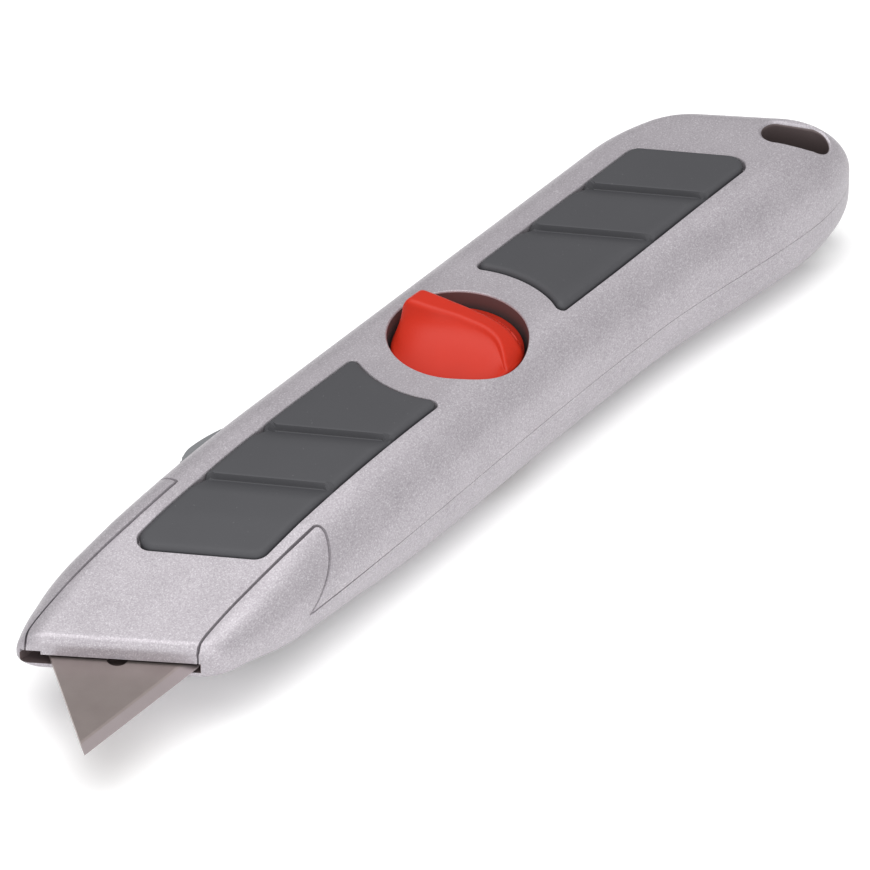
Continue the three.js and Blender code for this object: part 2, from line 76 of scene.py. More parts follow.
# Casing
HALF = 10.5
NOSE, REAR = 76.6, 70.25
SLANT = 0.663
SPINE, BELLY = 14.7, 13.55
NOSE_BULGE, HEEL_BULGE = 1.87, 2.5
WALL = 2.6
SPINE_FILLET, BELLY_FILLET = 5.0, 8.45
REAR_FILLET, NOSE_FILLET = 5.5, 1.4
CHIN = 0.4  # how much thinner the back half gets towards the nose, as a share
PARTING_GAP = 0.07
SEAM_GAP = 0.24
MOUTH = -0.925, 0.625  # lower and upper face at the nose
MOUTH_REAR = -1.375  # lower face behind the nose
MOUTH_STEP = -61.1  # where the lower face changes
NOTCH_RISE = 0.6
RIM = 0.4
FACETS = 0.06  # keeps the smooth skin inside the CAD's flat facets

# Cheeks of the back casing beside the nose tongue
CHEEK_ENDS = -49.0, -42.8  # rear ends of the spine and belly cheeks
CHEEK_LINE = -9.77  # the belly seam's y beside the grip
CHEEK_SHOULDER = 7.49  # above this the belly cheek's rear end is upright

# Rails under the carriage
RAIL_SIDE = 6.5
RAIL_HALF = 0.8
RAIL_ENDS = -68, -8
RAIL_TOP = -3.7

# Dowels and their bosses
DOWELS = "dowel_pin_front", "dowel_pin_rear"
DOWEL_BORE = 1.45
DOWEL_BOSS = 2.8

# Grips
GRIP_HALF = 7.75
GRIP_PROUD = 0.5
GRIP_DEPTH = 1.0
GRIP_RING = 15.6
GRIP_SLANT = 0.6
GRIP_ENDS = {"front": -57.2, "rear": 54.6}
GRIP_STEPS = {"front": (-41, -28.3), "rear": (30.6, 43.3)}
STEP_DEPTH = 1.0
STEP_RUN = 3.2

# Knob
RECESS = 10.0
RECESS_FLOOR = HALF - 6
KNOB_RADIUS = 9.45
KNOB_FACE = HALF - 2
SCREW_HOLE = 2.6  # through the recess floor
SCREW_HEAD_ROOM = 3.85

# Thumb button
BUTTON_CREST = 4.6  # front end to the highest point
BUTTON_ROOM = 5.8  # half the channel's width
STEM_ROOM = 2.1  # half the slot's width
BLADE_TRAVEL = 25

# Blade
BEVEL = 1.7  # the ground strip along the cutting edge

# Hang slot
SLOT_CENTRE = np.array([68.1, -8.0])
SLOT_LENGTH, SLOT_WIDTH = 9.7, 4.5
SLOT_TILT = math.radians(38)


# ---------------------------------------------------------------- shape of the casing
# u = x + SLANT * y runs from -NOSE to REAR: both ends of the casing lean back by SLANT


def ease(t):
    """A smooth step from 0 to 1."""
    return (1 - np.cos(np.pi * np.clip(t, 0, 1))) / 2


def round_off(depth, length, past):
    """An elliptic corner: how far an edge has dropped at this distance past the corner's start."""
    return depth * (1 - np.sqrt(np.clip(1 - (np.maximum(0, past) / length) ** 2, 0, 1)))


def spine_edge(u):
    fall = 0.011 * np.maximum(0, -57 - u) ** 2
    return SPINE - fall - round_off(8.9, 13.6, u - REAR + 13.6) - round_off(1.2, 1.8, -u - NOSE + 1.8)


def belly_edge(u):
    front = NOSE_BULGE * ease((15 - u) / 77.7) - 1.2 * ease((12.2 - u - NOSE) / 12.2)
    heel = HEEL_BULGE * ease((u - 19) / 35.4)
    ends = round_off(7.5, 19.5, u - REAR + 19.5) + round_off(2.1, 3, -u - NOSE + 3)
    return ends - (BELLY + front + heel)


def half_thickness(u):
    curved = 0.0022 * np.clip(-20 - u, 0, 30) ** 2
    straight = 0.19 * np.maximum(0, -50 - u)
    ends = round_off(REAR_FILLET, REAR_FILLET, u - REAR + REAR_FILLET)
    ends = ends + round_off(NOSE_FILLET, NOSE_FILLET, -u - NOSE + NOSE_FILLET)
    return HALF - curved - straight - ends


def fillets(u, inset=0.0):
    """Spine and belly fillet radii, limited by the section."""
    thick = np.maximum(half_thickness(u) - inset, 0.7)
    limit = np.minimum(thick, (spine_edge(u) - belly_edge(u)) / 2 - inset) - 0.3
    return (np.minimum(max(SPINE_FILLET - inset, 0.5), limit),
            np.minimum(max(BELLY_FILLET - inset, 0.5), limit))


def outside(p):
    """Distance outside the casing's skin, negative within. p is (..., 3)."""
    x, y, z = p[..., 0], p[..., 1], np.abs(p[..., 2])
    u = np.clip(x + SLANT * y, -NOSE, REAR)
    top, bottom, thick = spine_edge(u), belly_edge(u), half_thickness(u)
    spine_r, belly_r = fillets(u)
    towards_spine = y > (top + bottom) / 2
    radius = np.where(towards_spine, spine_r, belly_r)
    dy = np.where(towards_spine, y - top, bottom - y) + radius
    dz = z - thick + radius
    corner = np.hypot(np.maximum(dy, 0), np.maximum(dz, 0))
    return corner + np.minimum(np.maximum(dy, dz), 0) - radius


def skin_height(x, y):
    """Height of the face side's skin above the parting plane."""
    u = np.clip(x + SLANT * y, -NOSE, REAR)
    spine_r, belly_r = fillets(u)
    spine_in = np.clip(spine_r - (spine_edge(u) - y), 0, spine_r)
    belly_in = np.clip(belly_r - (y - belly_edge(u)), 0, belly_r)
    drop = spine_r - np.sqrt(spine_r ** 2 - spine_in ** 2)
    return half_thickness(u) - drop - belly_r + np.sqrt(belly_r ** 2 - belly_in ** 2)


def skin_normal(p):
    step = 0.02
    slopes = [outside(p + step * axis) - outside(p - step * axis) for axis in np.eye(3)]
    normal = np.stack(slopes, -1)
    return normal / np.linalg.norm(normal, axis=-1, keepdims=True)


def stations(fine):
    nose = -NOSE + NOSE_FILLET * np.linspace(0, 1, 8 * fine) ** 2
    bow = np.linspace(-NOSE + NOSE_FILLET, -20, 28 * fine)
    middle_run = np.linspace(-20, REAR - 20, 24 * fine)
    heel = REAR - 20 + 20 * np.sin(np.radians(np.linspace(0, 90, 16 * fine)))
    return np.unique(np.round(np.concatenate([nose, bow, middle_run, heel]), 5))


def body(inset, fine=1):
    """The casing's solid, drawn in by inset all round."""
    inset = inset + FACETS
    reach = (REAR + NOSE) / 2
    u = stations(fine)[:, None]
    at = (REAR - NOSE) / 2 + (u - (REAR - NOSE) / 2) * (1 - inset / reach)
    top, bottom = spine_edge(u) - inset, belly_edge(u) + inset
    thick = np.maximum(half_thickness(u) - inset, 0.7)
    spine_r, belly_r = fillets(u, inset)
    ring_y, ring_z = [], []
    for cy, sz, r, start in ((top - spine_r, 1, spine_r, 0), (bottom + belly_r, 1, belly_r, 90),
                             (bottom + belly_r, -1, belly_r, 180), (top - spine_r, -1, spine_r, 270)):
        angle = np.radians(start + np.linspace(0, 90, 8 * fine + 1))[None]
        ring_y.append(cy + r * np.cos(angle))
        ring_z.append(sz * (thick - r) + r * np.sin(angle))
    y, z = np.concatenate(ring_y, 1), np.concatenate(ring_z, 1)
    z = np.where(z < 0, z * (1 - CHIN * ease((16.6 - u - NOSE) / 16)), z)
    rings = np.stack([at - SLANT * y, y, z], -1)
    return loft("body", rings)


# ---------------------------------------------------------------- mesh tools


def new_object(name, points, faces):
    mesh = bpy.data.meshes.new(name)
    mesh.from_pydata([tuple(map(float, p)) for p in points], [], faces)
    made = bpy.data.objects.new(name, mesh)
    bpy.context.scene.collection.objects.link(made)
    return made


def loft(name, rings):
    """A skin through rings of equal length, closed at both ends."""
    rows, count = rings.shape[:2]
    faces = []
    for row in range(rows - 1):
        for i in range(count):
            a, b = row * count + i, row * count + (i + 1) % count
            faces.append((a, b, b + count, a + count))
    faces.append(tuple(reversed(range(count))))
    faces.append(tuple(range((rows - 1) * count, rows * count)))
    made = new_object(name, rings.reshape(-1, 3), faces)
    face_outwards(made)
    return made


def face_outwards(made):
    work = bmesh.new()
    work.from_mesh(made.data)
    bmesh.ops.remove_doubles(work, verts=work.verts, dist=1e-5)
    bmesh.ops.recalc_face_normals(work, faces=work.faces)
    work.to_mesh(made.data)
    work.free()


def close_below(work, made, floor):
    """Extrudes an open surface's rim down to floor(x, y), closes it and writes it to the object."""
    rim = [edge for edge in work.edges if edge.is_boundary]
    lower = bmesh.ops.extrude_edge_only(work, edges=rim)["geom"]
    for vert in (item for item in lower if isinstance(item, bmesh.types.BMVert)):
        vert.co.z = floor(vert.co.x, vert.co.y)
    bmesh.ops.holes_fill(work, edges=[edge for edge in work.edges if edge.is_boundary])
    bmesh.ops.recalc_face_normals(work, faces=work.faces)
    work.to_mesh(made.data)
    work.free()


def settle(made):
    """Applies the modifiers."""
    depsgraph = bpy.context.evaluated_depsgraph_get()
    mesh = bpy.data.meshes.new_from_object(made.evaluated_get(depsgraph))
    made.modifiers.clear()
    old, made.data = made.data, mesh
    bpy.data.meshes.remove(old)
    return made


def combine(target, tool, operation):
    modifier = target.modifiers.new("combine", "BOOLEAN")
    modifier.solver = "MANIFOLD"
    modifier.operation = operation
    modifier.object = tool
    settle(target)
    bpy.data.meshes.remove(tool.data)
    return target


def minus(target, *tools):
    for tool in tools:
        combine(target, tool, "DIFFERENCE")
    return target


def plus(target, *tools):
    for tool in tools:
        combine(target, tool, "UNION")
    return target


def within(target, tool):
    return combine(target, tool, "INTERSECT")


def flip(made):
    """Mirrored through the parting plane."""
    made.data.transform(Matrix.Diagonal((1, 1, -1, 1)))
    made.data.flip_normals()
    return made


def prism(outline, low, high):
    ring = np.array(outline, float)[:, :2]
    rings = [np.column_stack([ring, np.full(len(ring), z)]) for z in (low, high)]
    return loft("prism", np.array(rings))


def side_prism(outline, low, high):
    """An outline of (x, z) points, extruded along y."""
    ring = np.array(outline, float)
    rings = [np.column_stack([ring[:, 0], np.full(len(ring), y), ring[:, 1]]) for y in (low, high)]
    return loft("prism", np.array(rings))


def block(x, y, z):
    return prism([(x[0], y[0]), (x[1], y[0]), (x[1], y[1]), (x[0], y[1])], *z)


def turned(profile, centre=(0, 0), steps=96):
    """A profile of (radius, z) points turned about a z axis. Its ends are closed by discs."""
    angle = np.linspace(0, 2 * np.pi, steps, endpoint=False)
    rings = [np.column_stack([centre[0] + r * np.cos(angle), centre[1] + r * np.sin(angle),
                              np.full(steps, z)]) for r, z in profile]
    return loft("turned", np.array(rings))


def rounded(corners, steps=6):
    """A closed outline through corners of (x, y, radius), each rounded by an arc."""
    points = []
    for i, (x, y, radius) in enumerate(corners):
        here = np.array([x, y], float)
        before = np.array(corners[i - 1][:2]) - here
        after = np.array(corners[(i + 1) % len(corners)][:2]) - here
        before, after = before / np.linalg.norm(before), after / np.linalg.norm(after)
        half = math.acos(np.clip(before @ after, -1, 1)) / 2
        if radius <= 0 or half > 1.55:
            points.append(here)
            continue
        centre = here + (before + after) / np.linalg.norm(before + after) * radius / math.sin(half)
        start, end = here + before * radius / math.tan(half), here + after * radius / math.tan(half)
        for t in np.linspace(0, 1, steps + 1):
            way = (1 - t) * (start - centre) + t * (end - centre)
            points.append(centre + way / np.linalg.norm(way) * radius)
    return np.array(points)


def resampled(outline, spacing):
    """Points at even spacing along each straight run of a closed outline."""
    points = []
    for a, b in zip(outline, np.roll(outline, -1, axis=0)):
        count = max(1, round(np.linalg.norm(b - a) / spacing))
        points += [a + (b - a) * k / count for k in range(count)]
    return np.array(points)


def grown(outline, distance):
    """A closed anticlockwise outline moved outwards by distance."""
    ahead, behind = np.roll(outline, -1, axis=0), np.roll(outline, 1, axis=0)
    edge_in, edge_out = outline - behind, ahead - outline
    out_in = np.column_stack([edge_in[:, 1], -edge_in[:, 0]])
    out_out = np.column_stack([edge_out[:, 1], -edge_out[:, 0]])
    out_in /= np.linalg.norm(out_in, axis=1, keepdims=True)
    out_out /= np.linalg.norm(out_out, axis=1, keepdims=True)
    mitre = out_in + out_out
    mitre /= np.maximum((mitre * out_in).sum(1, keepdims=True), 0.3)
    return outline + mitre * distance


def slot_outline(grow=0.0):
    """The hang slot seen from the face, widened by grow all round."""
    radius = SLOT_WIDTH / 2 + grow
    run = (SLOT_LENGTH - SLOT_WIDTH) / 2
    points = []
    for side in (-1, 1):
        for angle in np.linspace(0, np.pi, 20):
            turn = angle if side > 0 else angle + np.pi
            points.append((radius * math.cos(turn), side * run + radius * math.sin(turn)))
    turn = np.array([[math.cos(SLOT_TILT), -math.sin(SLOT_TILT)], [math.sin(SLOT_TILT), math.cos(SLOT_TILT)]])
    return np.array(points) @ turn.T + SLOT_CENTRE


def opening(outline, floor, rim=RIM):
    """A cutter whose mouth is rounded over to the casing's skin all the way round."""
    rings = [np.column_stack([outline, np.full(len(outline), floor)])]
    for degrees in (0, 22, 44, 64):
        angle = math.radians(degrees)
        ring = grown(outline, rim * (1 - math.cos(angle)))
        height = skin_height(ring[:, 0], ring[:, 1]) - rim + rim * math.sin(angle)
        rings.append(np.column_stack([ring, height]))
    ring = grown(outline, rim + 0.5)
    rings.append(np.column_stack([ring, rings[-1][:, 2] + 1.0]))
    return loft("opening", np.array(rings))


def groove(path, half_width, depth):
    """A V-shaped cutter that follows a path of points on the casing's skin."""
    path = np.array(path)
    normal = skin_normal(path)
    tangent = np.gradient(path, axis=0)
    side = np.cross(normal, tangent)
    side /= np.linalg.norm(side, axis=1, keepdims=True)
    lift = 0.3
    spread = half_width * (1 + lift / depth)
    rings = np.stack([path + side * spread + normal * lift, path - normal * depth,
                      path - side * spread + normal * lift], 1)
    return loft("groove", rings)


def place(made, name, body_name, slot, material, *nodes, smooth_below=35):
    """Names a finished piece, moves it to the row frame in metres and ties it to its body."""
    for vertex_move in (Matrix.Translation(Vector(ORIGIN)), Matrix.Scale(MM, 4)):
        made.data.transform(vertex_move)
    made.name = made.data.name = name
    made.data.materials.clear()
    made.data.materials.append(material)
    made.data.shade_smooth()
    made.data.set_sharp_from_angle(angle=math.radians(smooth_below))
    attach(made, body_name)
    if nodes:
        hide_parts(*nodes)
    return made


# ---------------------------------------------------------------- materials


class Wire:
    """The output of a shader node. Arithmetic on wires adds Math nodes."""

    def __init__(self, finish, socket):
        self.finish = finish
        self.socket = socket

    def __add__(self, other):
        return self.finish.math("ADD", self, other)

    __radd__ = __add__

    def __mul__(self, other):
        return self.finish.math("MULTIPLY", self, other)

    __rmul__ = __mul__

    def __sub__(self, other):
        return self.finish.math("SUBTRACT", self, other)

    def __rsub__(self, other):
        return self.finish.math("SUBTRACT", other, self)

    def __gt__(self, other):
        return self.finish.math("GREATER_THAN", self, other)

    def __lt__(self, other):
        return self.finish.math("LESS_THAN", self, other)


class Finish:
    """A material and the nodes that make it."""

    def __init__(self, name, **constants):
        self.material = bpy.data.materials.new(name)
        self.material.use_nodes = True
        self.tree = self.material.node_tree
        self.shader = self.tree.nodes["Principled BSDF"]
        for key, value in constants.items():
            self.feed(self.shader.inputs[key.replace("_", " ").title().replace("Ior", "IOR")], value)

    def feed(self, socket, value):
        if isinstance(value, Wire):
            self.tree.links.new(value.socket, socket)
        elif isinstance(value, tuple) and len(value) == 3 and len(socket.default_value) == 4:
            socket.default_value = (*value, 1.0)
        else:
            socket.default_value = value

    def node(self, kind, settings=None, inputs=None, output=0):
        made = self.tree.nodes.new("ShaderNode" + kind)
        settings = dict(settings or {})
        stops = settings.pop("stops", None)
        for key, value in settings.items():
            setattr(made, key, value)
        if stops:
            ramp = made.color_ramp.elements
            while len(ramp) < len(stops):
                ramp.new(1.0)
            for element, (position, shade) in zip(ramp, stops):
                element.position = position
                element.color = (shade, shade, shade, 1)
        for key, value in (inputs or {}).items():
            self.feed(made.inputs[key], value)
        return Wire(self, made.outputs[output])

    def math(self, operation, first, second):
        return self.node("Math", {"operation": operation}, {0: first, 1: second})

    def where(self):
        return self.node("TexCoord", output="Object")

    def millimetres(self):
        """Distances from the knob's axis and the parting plane."""
        shift = tuple(float(-v) for v in ORIGIN)
        at = self.node("Mapping", None, {"Vector": self.where(), "Location": shift, "Scale": (1 / MM,) * 3})
        return [self.node("SeparateXYZ", None, {"Vector": at}, axis) for axis in "XYZ"]

    def noise(self, scale, detail=2.0, roughness=0.5, at=None):
        sockets = {"Vector": at or self.where(), "Scale": scale, "Detail": detail, "Roughness": roughness}
        return self.node("TexNoise", None, sockets, "Fac")

    def cells(self, scale, output="Distance"):
        return self.node("TexVoronoi", None, {"Vector": self.where(), "Scale": scale}, output)

    def ramp(self, value, *stops):
        return self.node("ValToRGB", {"stops": stops}, {"Fac": value})

    def mix(self, factor, first, second):
        return self.node("Mix", {"data_type": "RGBA"}, {"Factor": factor, 6: first, 7: second}, 2)

    def bump(self, height, distance, strength=1.0):
        normal = self.node("Bump", None, {"Height": height, "Distance": distance, "Strength": strength},
                           "Normal")
        self.feed(self.shader.inputs["Normal"], normal)

    def set(self, **sockets):
        for key, value in sockets.items():
            self.feed(self.shader.inputs[key.replace("_", " ").title()], value)
        return self


def powder_coat():
    """Silver paint with a fine metallic grain, and painted shade inside the openings."""
    finish = Finish("silver_powder_coat", metallic=0.3)
    grain = finish.noise(4200, 3, 0.6)
    cloud = finish.noise(170, 3)
    spark = finish.node("SeparateColor", None, {"Color": finish.cells(7000, "Color")}, "Red") > 0.9
    tone = finish.ramp(grain * 0.8 + cloud * 0.2, (0.32, 0.0), (0.68, 1.0))
    paint = finish.mix(tone, (0.29, 0.268, 0.29), (0.46, 0.43, 0.46))
    paint = finish.mix(spark * 0.3, paint, (0.72, 0.7, 0.73))
    x, y, z = finish.millimetres()
    # Painted shade: masks for the walls of the knob's recess, the hang slot and the blade's mouth, where
    # shade falls inside the casing
    recess = (x * x + y * y < (RECESS + 0.12) ** 2) * (z < HALF - 0.35)
    along_x, along_y = -math.sin(SLOT_TILT), math.cos(SLOT_TILT)
    from_x, from_y = x - float(SLOT_CENTRE[0]), y - float(SLOT_CENTRE[1])
    across = from_x * along_y - from_y * along_x
    along = from_x * along_x + from_y * along_y
    beyond = finish.math("MAXIMUM", finish.math("ABSOLUTE", along, 0) - (SLOT_LENGTH - SLOT_WIDTH) / 2, 0)
    slot = across * across + beyond * beyond < (SLOT_WIDTH / 2 + 0.12) ** 2
    blade = local_box("blade")
    mouth_shade = (z > MOUTH[0] - 0.01) * (z < MOUTH[1] + 0.01) * (x < -55)
    mouth_shade = mouth_shade * (y > float(blade[0][1]) - 0.35) * (y < float(blade[1][1]) + 1.6)
    # The dark colour (0.13, 0.1, 0.1) is painted shade inside those openings, not the paint's own colour
    finish.set(base_color=finish.mix(recess + slot + mouth_shade, paint, (0.13, 0.1, 0.1)),
               roughness=0.48 - 0.12 * grain)
    finish.bump(grain * 0.6 + finish.noise(1400, 2) * 0.5, 0.00003, 0.5)
    return finish.material


def moulded_rubber():
    finish = Finish("moulded_rubber", specular_ior_level=0.3)
    grain = finish.noise(5200, 3, 0.6)
    cloud = finish.noise(90, 3)
    speck = finish.noise(2300, 1) > 0.78
    tone = finish.mix(grain * 0.5 + cloud * 0.5, (0.052, 0.052, 0.057), (0.068, 0.068, 0.074))
    finish.set(base_color=finish.mix(speck * 0.3, tone, (0.16, 0.16, 0.165)), roughness=0.52 + 0.2 * grain)
    finish.bump(grain, 0.00003, 0.4)
    return finish.material


def satin_plastic(name, dark, light, roughness, shine=0.5):
    finish = Finish(name, specular_ior_level=shine)
    grain = finish.noise(4200, 2, 0.5)
    cloud = finish.noise(120, 3)
    finish.set(base_color=finish.mix(cloud, dark, light), roughness=roughness - 0.05 + 0.12 * grain)
    finish.bump(grain, 0.00002, 0.35)
    return finish.material


def ground_steel(name, node):
    """Blade steel with grinding lines and a brighter bevel along the cutting edge."""
    finish = Finish(name, metallic=0.9)
    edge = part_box(node)[0].y
    along = finish.node("Mapping", None, {"Vector": finish.where(), "Scale": (9000, 260, 260)})
    lines = finish.noise(1.0, 4, 0.6, along)
    place_y = finish.node("SeparateXYZ", None, {"Vector": finish.where()}, "Y")
    bevel = place_y < edge + BEVEL * MM
    tint = finish.mix(finish.noise(160, 3), (0.3, 0.25, 0.24), (0.42, 0.365, 0.35))
    finish.set(base_color=finish.mix(bevel, tint, (0.38, 0.33, 0.335)),
               roughness=0.3 + 0.2 * lines + 0.05 * bevel)
    finish.bump(lines, 0.00002, 0.35)
    return finish.material


def metal(name, dark, light, roughness):
    finish = Finish(name, metallic=1.0)
    lines = finish.noise(2400, 3, 0.6)
    finish.set(base_color=finish.mix(lines, dark, light), roughness=roughness + 0.15 * lines)
    finish.bump(lines, 0.00002, 0.3)
    return finish.material


SILVER = powder_coat()
RUBBER = moulded_rubber()
RED = satin_plastic("red_plastic", (0.45, 0.02, 0.007), (0.52, 0.025, 0.01), 0.42, 0.22)
GREY = satin_plastic("grey_plastic", (0.16, 0.165, 0.172), (0.21, 0.215, 0.225), 0.5)
BLACK = satin_plastic("black_plastic", (0.02, 0.02, 0.022), (0.035, 0.035, 0.038), 0.5)
SPRING_STEEL = metal("spring_steel", (0.36, 0.36, 0.37), (0.5, 0.5, 0.51), 0.22)
BRASS = metal("brass", (0.5, 0.34, 0.12), (0.68, 0.5, 0.22), 0.25)


# ---------------------------------------------------------------- casing halves


def seam_lines():
    """Where the tongue of the face casing meets the cheeks of the back casing, as (x, y) points.
    The belly line stops where the cheek's corner begins."""
    spine = [(-95, 6.5), (-83.5, 8.4), (-82.1, 9.6), (-81.3, 10.3), (-79.4, 10.4), (-75.6, 10.7),
             (-72, 10.8), (-64, 10.7), (-57, 10.35), (CHEEK_ENDS[0], 10.3)]
    belly = [(-95, -19.5), (-75, -13.2), (-72, -11.6), (-70.3, -10.9), (-69.2, -10.4), (-67.5, -10.1),
             (-64.9, -9.94), (-61, CHEEK_LINE), (CHEEK_ENDS[1] - 1.2, CHEEK_LINE)]
    return smooth_line(spine), smooth_line(belly)[:-12]


def smooth_line(points, spacing=0.5):
    """A line through points, with y following a smooth curve of x."""
    x, y = np.array(points, float).T
    fine = np.arange(x[0], x[-1] + spacing / 2, spacing)
    curve = np.interp(fine, x, y)
    for _ in range(8):
        curve[1:-1] = (curve[:-2] + 2 * curve[1:-1] + curve[2:]) / 4
    return np.column_stack([fine, curve])


def cheek_end(z):
    """The belly cheek's rear end leans back to the nose on its way down to the parting line."""
    below = CHEEK_SHOULDER - np.clip(z, 0, CHEEK_SHOULDER)
    return CHEEK_ENDS[1] - 0.685 * below - 0.0587 * below ** 2


def cheek_corner(grow=0.0):
    side, end = CHEEK_LINE + grow, CHEEK_ENDS[1] + grow
    return rounded([(-60, side, 0), (end, side, 0.9), (end, -40, 0)])[1:]


def cheeks(grow):
    spine, belly = seam_lines()
    end = spine[-1][0] + grow
    region = [*(spine - (0, grow)), (end, spine[-1][1] - grow), (end, 40), (-95, 40)]
    spine_cheek = prism(region, -1, 14)
    region = [*(belly + (0, grow)), *cheek_corner(grow), (-95, -40)]
    belly_cheek = prism(region[::-1], -1, 14)
    side = [(cheek_end(z) + grow, z) for z in np.linspace(0, 16, 60)]
    side += [(-110, 16), (-110, -5), (cheek_end(0) + grow, -5)]
    return spine_cheek, within(belly_cheek, side_prism(side, -30, 0))


def on_skin(x, z):
    """The belly side's skin point at this station and height."""
    near = np.linspace(-17.5, -9, 1700)
    probe = np.column_stack([np.full_like(near, x), near, np.full_like(near, z)])
    return (x, near[np.argmin(np.abs(outside(probe)))], z)


def seam_grooves():
    spine, belly = seam_lines()
    lines = [line[line[:, 0] > -84] for line in (spine, belly)]
    on_face = [np.column_stack([line, skin_height(*line.T)]) for line in lines]
    tick = [(spine[-1][0], y, float(skin_height(spine[-1][0], y))) for y in (10.3, 11.4, 12.5, 13.5)]
    turn = [(x, y, float(skin_height(x, y))) for x, y in cheek_corner()[:7]]
    down = [on_skin(float(cheek_end(z)), z) for z in np.linspace(turn[-1][2] - 0.35, 0, 30)]
    along = [on_skin(x, 0.0) for x in np.linspace(down[-1][0], down[-1][0] + 26, 27)]
    fade = np.linspace(1, 0.25, len(along)) ** 1.5
    return [groove(on_face[0], 0.27, 0.75), groove([*on_face[1], *turn, *down], 0.24, 0.75),
            groove(tick, 0.22, 0.5), groove(along, 0.22 * fade[:, None], 0.5)]


def button_passage():
    """A channel for the button's hump and a slot for its stem, both as long as the blade's travel."""
    button = local_box("thumb_button")
    stem_x = (button[0][0] + button[1][0]) / 2
    channel = block((button[0][0] - 0.5, button[1][0] + BLADE_TRAVEL + 0.5), (SPINE - 1.6, 40),
                    (-BUTTON_ROOM, BUTTON_ROOM))
    slot = block((stem_x - 4, stem_x + BLADE_TRAVEL + 4), (SPINE - WALL - 1, 40),
                 (-STEM_ROOM, STEM_ROOM))
    return channel, slot


def mouth():
    """The slot that the blade comes out of, with a notch in the tongue beside the blade's back."""
    blade = local_box("blade")
    edge, back = blade[0][1], blade[1][1]
    front = block((-130, MOUTH_STEP + 0.5), (edge - 0.3, back + 1.55), MOUTH)
    notch = block((-130, -70), (back - 1.0, back + 1.55), (0, MOUTH[1] + NOTCH_RISE))
    rear = block((MOUTH_STEP - 0.5, blade[1][0] + 4), (edge - 0.6, back + 1.8), (MOUTH_REAR, MOUTH[1]))
    return plus(front, notch, rear)


def grip_outline(which, grow=0.0):
    """Anticlockwise outline of a grip, its knob end a concave arc round the knob."""
    side = GRIP_HALF + grow
    way = -1 if which == "front" else 1
    end = GRIP_ENDS[which] + way * grow
    lean = GRIP_SLANT * side
    ring = GRIP_RING - grow
    reach = math.asin(side / ring)
    arc = [(way * ring * math.cos(a), ring * math.sin(a)) for a in np.linspace(-reach, reach, 33)]
    if which == "front":
        corners = [(end + lean, -side, 2.3)] + [(*arc[0], 0.9)]
        corners += [(*p, 0) for p in arc[3:-3]] + [(*arc[-1], 0.9), (end - lean - 0.55, side + 0.3, 1.9)]
    else:
        corners = [(*arc[0], 0.9), (end + lean, -side, 2.3), (end - lean, side, 2.3), (*arc[-1], 0.9)]
        corners += [(*p, 0) for p in arc[3:-3][::-1]]
    return resampled(rounded(corners), 0.45)


def grip_pocket(which):
    outline = grip_outline(which, 0.22)
    rings = []
    for height in (-GRIP_DEPTH - 0.25, 0):
        rings.append(np.column_stack([outline, skin_height(*outline.T) + height - 0.3]))
    rim = 0.3
    for degrees in (30, 60):
        angle = math.radians(degrees)
        ring = grown(outline, rim * (1 - math.cos(angle)))
        rings.append(np.column_stack([ring, skin_height(*ring.T) - rim * (1 - math.sin(angle))]))
    ring = grown(outline, rim + 0.4)
    rings.append(np.column_stack([ring, skin_height(*ring.T) + 1.0]))
    return loft("pocket", np.array(rings))


def hang_cutter():
    cutter = opening(slot_outline(), 0, rim=0.9)
    other = flip(opening(slot_outline(), -0.01, rim=0.9))
    return plus(cutter, other)


def half_space(above):
    """Everything to one side of the parting plane, less half of its gap."""
    gap = PARTING_GAP / 2
    return block((-140, 140), (-60, 60), (gap, 60) if above else (-60, -gap))


def bosses(low, high):
    """Posts round the hang slot and the dowels."""
    made = [prism(slot_outline(1.2), low, high)]
    for node in DOWELS:
        corners = local_box(node)
        centre = (corners[0] + corners[1])[:2] / 2
        made.append(turned([(DOWEL_BOSS, low), (DOWEL_BOSS, high)], centre, 32))
    return made


def dowel_bores():
    made = []
    for node in DOWELS:
        low, high = local_box(node)
        profile = [(DOWEL_BORE, low[2] - 0.3), (DOWEL_BORE, high[2] + 0.3)]
        made.append(turned(profile, (low + high)[:2] / 2, 32))
    return made


def shell():
    """The whole casing, hollow and not yet parted."""
    return minus(body(0, fine=3), body(WALL))


def face_casing():
    fittings = plus(turned([(RECESS + 2, RECESS_FLOOR - 1.6), (RECESS + 2, HALF + 1)]),
                    *bosses(PARTING_GAP / 2, HALF + 1))
    casing = within(shell(), half_space(True))
    casing = minus(casing, *cheeks(SEAM_GAP / 2))
    casing = plus(casing, within(fittings, body(0.02)))
    circle = [(RECESS * math.cos(a), RECESS * math.sin(a)) for a in np.linspace(0, 2 * np.pi, 129)[:-1]]
    return minus(casing, opening(np.array(circle), RECESS_FLOOR),
                 turned([(SCREW_HOLE, 0), (SCREW_HOLE, HALF)], steps=48), mouth(), *button_passage(),
                 hang_cutter(), *map(grip_pocket, GRIP_ENDS), *dowel_bores(), *seam_grooves())


def back_casing():
    casing = within(shell(), half_space(False))
    for cheek in cheeks(-SEAM_GAP / 2):
        casing = plus(casing, within(body(0, fine=3), cheek))
    insert = local_box("threaded_insert")
    outer = (insert[1] - insert[0])[0] / 2 + 0.3
    rails = [block(RAIL_ENDS, (y - RAIL_HALF, y + RAIL_HALF), (-HALF, RAIL_TOP))
             for y in (-RAIL_SIDE, RAIL_SIDE)]
    fittings = plus(turned([(outer + 1.5, -HALF), (outer + 1.5, -0.9)]), *bosses(-HALF - 1, -PARTING_GAP / 2),
                    *rails)
    casing = plus(casing, within(fittings, body(0.02)))
    bore = turned([(outer, insert[0][2] - 0.3), (outer, 0)], steps=48)
    return minus(casing, bore, mouth(), *button_passage(), hang_cutter(),
                 *[flip(grip_pocket(which)) for which in GRIP_ENDS], *dowel_bores(), *seam_grooves())


# ---------------------------------------------------------------- grips


